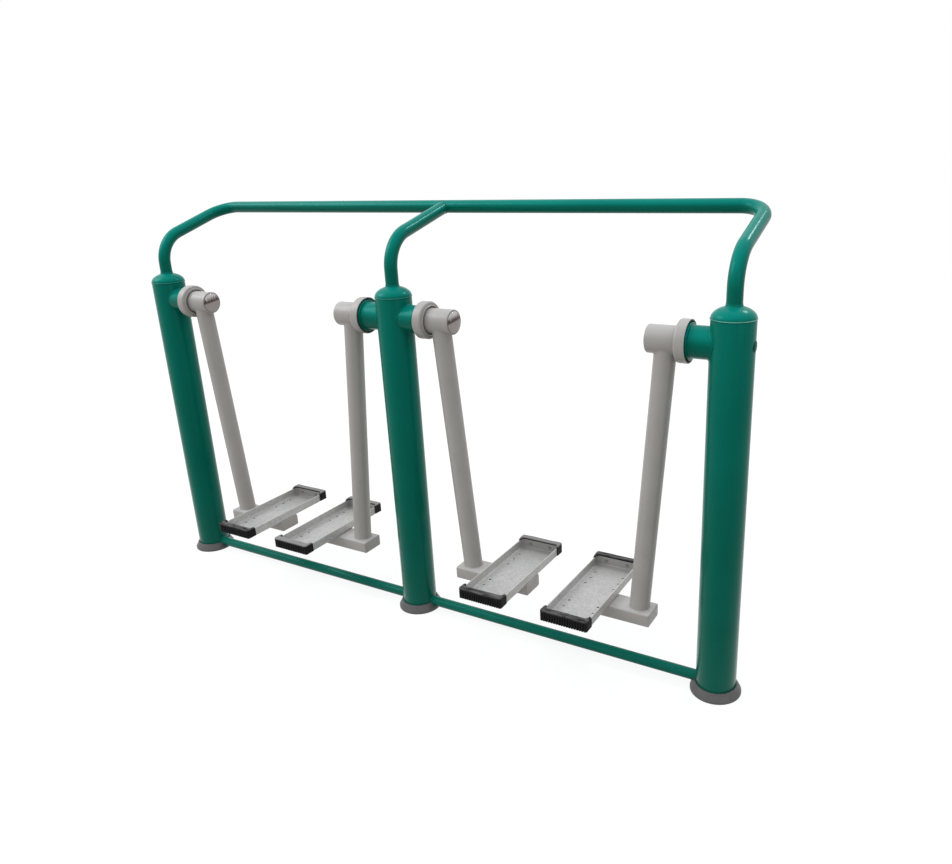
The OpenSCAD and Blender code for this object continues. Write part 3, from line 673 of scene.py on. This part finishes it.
def pan_surface():
    """The whole pan as points and faces. The wall's section, inside bend, wall, rim, outside
    and outside bend, is carried round the floor's rectangle, and turns on the spot at its
    four corners. The floor's two faces are grids with a ring of faces round each hole."""
    half_w, half_l = TRAY_W / 2 - SHEET - BEND, TRAY_L / 2 - SHEET - BEND
    top, low = TRAY_Z + SHEET, TRAY_Z
    xs, ys = floor_lines((-DRAIN_X, DRAIN_X), half_w), floor_lines(DRAIN_Y, half_l)
    sides = ((xs, -half_l + 0 * xs), (half_w + 0 * ys, ys),
             (xs[::-1], half_l + 0 * xs), (-half_w + 0 * ys, ys[::-1]))
    edge = np.concatenate([np.stack(pair, 1) for pair in sides])
    nx, ny = len(xs), len(ys)
    out = np.repeat(np.array([(0, -1), (1, 0), (0, 1), (-1, 0)], float), (nx, ny, nx, ny), 0)
    turn = np.linspace(0, np.pi / 2, 7)[1:-1]
    pieces_xy, pieces_out = [], []
    for s, n in enumerate((nx, ny, nx, ny)):
        lo = (0, nx, nx + ny, 2 * nx + ny)[s]
        pieces_xy.append(edge[lo:lo + n])
        pieces_out.append(out[lo:lo + n])
        a = math.atan2(out[lo][1], out[lo][0]) + turn
        pieces_xy.append(np.repeat(edge[lo + n - 1:lo + n], len(turn), 0))
        pieces_out.append(np.stack([np.cos(a), np.sin(a)], 1))
    base, way = np.concatenate(pieces_xy), np.concatenate(pieces_out)
    b = np.linspace(0, np.pi / 2, 6)
    r_in, r_out = BEND, BEND + SHEET
    wall_corners = [(r_in, top + r_in), (r_in, low + TRAY_H), (r_out, low + TRAY_H), (r_out, low + r_out)]
    section = np.concatenate([
        np.stack([r_in * np.sin(b), top + r_in * (1 - np.cos(b))], 1),
        filleted(wall_corners, (0, 1.3, 1.3, 0), 5)[1:-1],
        np.stack([r_out * np.sin(b[::-1]), low + r_out * (1 - np.cos(b[::-1]))], 1)])
    rim = base[None] + section[:, :1, None] * way[None]
    walls = np.concatenate([rim, np.repeat(section[:, 1:2, None], len(base), 1)], -1)

    rows, columns = walls.shape[:2]
    points, quads = [walls.reshape(-1, 3)], [grid_quads(rows, columns, False, True)]
    count = rows * columns
    gx, gy = np.meshgrid(xs, ys, indexing="ij")
    mid_x, mid_y = (xs[1:] + xs[:-1]) / 2, (ys[1:] + ys[:-1]) / 2
    free = np.ones((nx - 1, ny - 1), bool)
    for hx in (-DRAIN_X, DRAIN_X):
        for hy in DRAIN_Y:
            free &= ~((np.abs(mid_x - hx) < PATCH_HALF)[:, None] & (np.abs(mid_y - hy) < PATCH_HALF)[None])
    ci, cj = np.nonzero(free)
    flat = np.stack([ci * ny + cj, (ci + 1) * ny + cj, (ci + 1) * ny + cj + 1, ci * ny + cj + 1], -1)
    for z in (top, low):
        points.append(np.stack([gx, gy, z + 0 * gx], -1).reshape(-1, 3))
        quads.append(flat + count)
        count += nx * ny
    t, half = PATCH_STEPS, PATCH_HALF + 0 * PATCH_STEPS
    sides = ((t, -half), (half, t), (-t, half), (-half, -t))
    square = np.concatenate([np.stack(pair, 1)[:-1] for pair in sides])
    circle = square / np.linalg.norm(square, axis=1, keepdims=True) * DRAIN_R
    ring = [(square, top), (circle * 1.2, top), (circle, top - 0.4),
            (circle, low + 0.4), (circle * 1.2, low), (square, low)]
    patch = np.stack([np.concatenate([xy, np.full((len(xy), 1), z)], 1) for xy, z in ring])
    pr, pc = patch.shape[:2]
    plain = sum(len(q) for q in quads)
    ring_quads = grid_quads(pr, pc, False, True)
    for hx in (-DRAIN_X, DRAIN_X):
        for hy in DRAIN_Y:
            points.append((patch + (hx, hy, 0)).reshape(-1, 3))
            quads.append(ring_quads + count)
            count += pr * pc
    quads = np.concatenate(quads)
    in_ring = (np.arange(len(quads)) - plain) % ((pr - 1) * pc) // pc
    # The hole walls and chamfers, which take the painted shade.
    darkened = (np.arange(len(quads)) >= plain) & (in_ring > 0) & (in_ring < pr - 2)
    return np.concatenate(points), quads, darkened


pan_points, pan_quads, pan_hole_shade = pan_surface()
for i in range(4):
    where = pan_points + (PEDAL_X, 0, 0)
    where = where * (WALKER_SIDE[i], 1, 1) + (WALKER_POST[i], 0, 0)
    mesh = bpy.data.meshes.new(f"tray_pan_{i + 1}")
    mesh.from_pydata((where * 0.001).tolist(), [], pan_quads.tolist())
    mesh.polygons.foreach_set("material_index", pan_hole_shade.astype(np.int32))
    b = bmesh.new()
    b.from_mesh(mesh)
    bmesh.ops.remove_doubles(b, verts=b.verts, dist=1e-5)
    bmesh.ops.recalc_face_normals(b, faces=b.faces)
    b.to_mesh(mesh)
    b.free()
    smoothed(mesh)
    mesh.materials.append(zinc)
    mesh.materials.append(hole_painted_shade)
    obj = bpy.data.objects.new(f"tray_pan_{i + 1}", mesh)
    bpy.context.scene.collection.objects.link(obj)
    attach(obj, f"walker_{i + 1}")
    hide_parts(f"tray_{i + 1}")

# Rubber caps. Black mouldings pushed over the ends of each tray: a thick bar with ribs
# down its face, a cheek along each side wall and a lip that laps over the sheet.
CAP_W, CAP_L, CAP_BAR, CAP_HIGH, CAP_LIFT = 150.0, 36.0, 17.0, 34.0, 3.5
GROOVES, GROOVE_W, GROOVE_DEEP, GROOVE_TOP = 17, 3.2, 2.5, 7.0
LIP_EDGE, FACE_EDGE, CHEEK_DROP = 1.6, 4.2, 4.5
CHALK_FROM_M, CHALK_FULL_M = 0.2435, 0.2478


def moulded_rubber(name, chalk, start, full):
    """Moulded rubber: nearly black and dull, with a fine pebbled skin. Its top is worn to the
    chalk tone, from where the streaky wear noise passes start until it reaches full."""
    finish, tree, place = new_finish(name)
    scuffs = add(tree, "ShaderNodeMapping", {"Vector": place, "Scale": (22.0, 110.0, 110.0)})
    wear = noise(tree, scuffs.outputs[0], 1.0, 6.0, 0.7)
    there = add(tree, "ShaderNodeSeparateXYZ", {0: place})
    upper = remap(tree, there.outputs["Z"], CHALK_FROM_M, CHALK_FULL_M)
    wear_and_seam_highlight = remap(tree, wear, start, full)
    worn = calc(tree, "MULTIPLY", upper, wear_and_seam_highlight)
    tone = blend(tree, worn, "#121011", linear(chalk))
    pebble = noise(tree, place, 700.0, 2.0)
    bump = raised(tree, pebble, 0.35, 0.0006)
    dull = remap(tree, wear, 0.3, 0.7, 0.5, 0.72)
    shade(tree, {"Base Color": tone, "Roughness": dull, "Normal": bump, "IOR": 1.52,
                 "Specular IOR Level": 0.12})
    return finish


rubber = moulded_rubber("moulded_black_rubber", "#7C797A", 0.38, 0.72)
chalked_rubber = moulded_rubber("moulded_rubber_chalked_by_weather", "#8E8B8A", 0.1, 0.42)
CHALKED = ("near_rubber_2", "far_rubber_1", "far_rubber_2", "far_rubber_3")


def cap_line(half_w, end_y, r, tip_y, along):
    """A line from one cheek's tip round the end to the other's: straight, a quarter circle of
    radius r, straight across, a quarter circle, straight. Shares 0-1, 1-2, 2-3, 3-4, 4-5."""
    x = np.select([along < 1, along < 2, along < 3, along < 4],
                  [-half_w + 0 * along,
                   -half_w + r - r * np.cos((along - 1) * np.pi / 2),
                   -half_w + r + (along - 2) * 2 * (half_w - r),
                   half_w - r + r * np.sin((along - 3) * np.pi / 2)], half_w + 0 * along)
    y = np.select([along < 1, along < 2, along < 3, along < 4],
                  [tip_y + along * (end_y + r - tip_y),
                   end_y + r - r * np.sin((along - 1) * np.pi / 2),
                   end_y + 0 * along,
                   end_y + r - r * np.cos((along - 3) * np.pi / 2)],
                  end_y + r + (along - 4) * (tip_y - end_y - r))
    return x, y


def cap_surface(seed):
    """A cap at the tray's near end. A section is carried along the U of the cap: up the inside
    of the wall, in over the sheet's edge, round the lip, across the top, over the outer edge
    and down the ribbed face. Grooves push the face in by depth * a flat-topped cosine of x."""
    along = np.r_[np.linspace(0, 1, 10)[:-1], np.linspace(1, 2, 9)[:-1],
                  np.linspace(2, 3, GROOVES * 12 + 1)[:-1],
                  np.linspace(3, 4, 9)[:-1], np.linspace(4, 5, 10)]
    tip = CAP_L - CAP_BAR
    ox, oy = cap_line(CAP_W / 2, -CAP_BAR, 7.0, tip, along)
    wx, wy = cap_line(TRAY_W / 2, 0.0, 1.0, tip, along)
    lx, ly = cap_line(TRAY_W / 2 - SHEET - 0.5, SHEET + 0.5, 9.0, tip, along)
    nx, ny = ox - wx, oy - wy
    n = np.hypot(nx, ny)
    nx, ny = nx / n, ny / n
    front = np.clip((along - 2.0) * 40, 0, 1) * np.clip((3.0 - along) * 40, 0, 1)
    pitch = (CAP_W - 12) / GROOVES
    from_tip = np.where(along < 1, along, np.where(along > 4, 5 - along, 1.0)) * tip
    drop = CHEEK_DROP * np.clip(1 - from_tip / 7, 0, 1) ** 2
    sheet_top = TRAY_H - CAP_LIFT
    wave = np.cos(2 * np.pi * ox / pitch)
    groove = np.clip((wave - np.cos(np.pi * GROOVE_W / pitch)) * 4 + 0.5, 0, 1) * front
    droop = 0.35 * np.sin(ox / 17 + seed) + 0.25 * np.sin(ox / 7.3 + 2 * seed)
    rows = []

    def row(x, y, z):
        rows.append(np.stack([x, y, z - drop * np.clip((z - sheet_top) / 2.0, 0, 1)], -1))

    row(wx, wy, 0.6)
    row(wx, wy, sheet_top * 0.5)
    row(wx, wy, sheet_top)
    row(lx, ly, sheet_top)
    for a in np.linspace(0, np.pi / 2, 5):
        out = LIP_EDGE * (1 - np.cos(a))
        row(lx + nx * out, ly + ny * out, CAP_HIGH - LIP_EDGE + LIP_EDGE * np.sin(a) + droop * math.sin(a))
    inner = np.minimum(n * 0.45 + 2.0, FACE_EDGE)
    for a in np.linspace(0, np.pi / 2, 7):
        back = inner * (1 - np.sin(a))
        z = CAP_HIGH - FACE_EDGE + FACE_EDGE * np.cos(a) + droop * math.cos(a)
        row(ox - nx * back, oy - ny * back, z)
    groove_z = CAP_HIGH - GROOVE_TOP
    for z, deep in ((groove_z, 0.0), (groove_z - 1.2, 0.7), (groove_z - 2.6, 1.0),
                    (CAP_HIGH * 0.4, 1.0), (1.0, 1.0)):
        row(ox, oy + groove * deep * GROOVE_DEEP, z)
    row(ox - nx * 0.8, oy - ny * 0.8 + groove * GROOVE_DEEP, 0.0)
    row(wx + nx * 0.6, wy + ny * 0.6, 0.0)
    body = np.stack(rows)
    first = np.repeat(body[:, :1].mean(0, keepdims=True), len(body), 0)
    last = np.repeat(body[:, -1:].mean(0, keepdims=True), len(body), 0)
    return np.concatenate([first, body, last], 1)


for i in range(4):
    for near, side in (("near", 1), ("far", -1)):
        points = cap_surface(i * 2.1 + side) + (0, -TRAY_L / 2, TRAY_Z + CAP_LIFT)
        points = points * (1, side, 1) + (PEDAL_X, 0, 0)
        name = f"{near}_rubber_{i + 1}"
        piece(name, [placed((points, True, False), i)], f"walker_{i + 1}", [f"{near}_cap_{i + 1}"],
              chalked_rubber if name in CHALKED else rubber)

# Screws, axles, nuts and bearings. The imported pieces stay, in turned steel. The end axles
# are turned anew with rounded tips, which hardly show outside the posts, under a darker green
# paint with almost no gloss.

# Plain turned steel: grey metal with a dull oily film that varies its tone and roughness.
steel, tree, place = new_finish("turned_steel")
oil = noise(tree, place, 60.0, 4.0)
steel_tone = blend(tree, oil, "#8A8A8B", "#A9AAAB")
steel_rough = remap(tree, oil, 0.3, 0.7, 0.3, 0.5)
shade(tree, {"Base Color": steel_tone, "Roughness": steel_rough, "Metallic": 1.0})

painted_tip = green_paint.copy()
painted_tip.name = "green_coat_over_axle_tip"
coat = painted_tip.node_tree.nodes["Principled BSDF"]
coat.inputs["Specular IOR Level"].default_value = 0.01
coat_green = coat.inputs["Base Color"].links[0].from_socket
# The tip's paint is the post's green, darkened.
darkened = blend(painted_tip.node_tree, 0.7, coat_green, "#06362F")
painted_tip.node_tree.links.new(darkened, coat.inputs["Base Color"])
SHAFT_R, JOURNAL_R = 19, 15
TIP_X, STEP_X, SHOULDER_X, SHAFT_END_X = -57.6, -51, 115.7, 211.8
shaft = filleted([(0, TIP_X), (JOURNAL_R, TIP_X), (JOURNAL_R, STEP_X), (SHAFT_R, STEP_X),
                  (SHAFT_R, SHOULDER_X), (JOURNAL_R, SHOULDER_X), (JOURNAL_R, SHAFT_END_X), (0, SHAFT_END_X)],
                 (0, 1.5, 0, 1, 1, 0, 1, 0), 4)
shafts = [placed(turned(shaft, "x", (0, 0, PIVOT_Z), closed=False, segments=64), i) for i in (0, 3)]
piece("end_shafts", shafts, "frame", ["end_axles"], painted_tip)

kept = ["middle_axle", "axle_nuts"]
kept += [f"{kind}_{i}" for kind in ("bearings", "cap_screws") for i in (1, 2, 3, 4)]
for name in kept:
    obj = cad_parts[name]
    obj.data.materials.clear()
    obj.data.materials.append(steel)
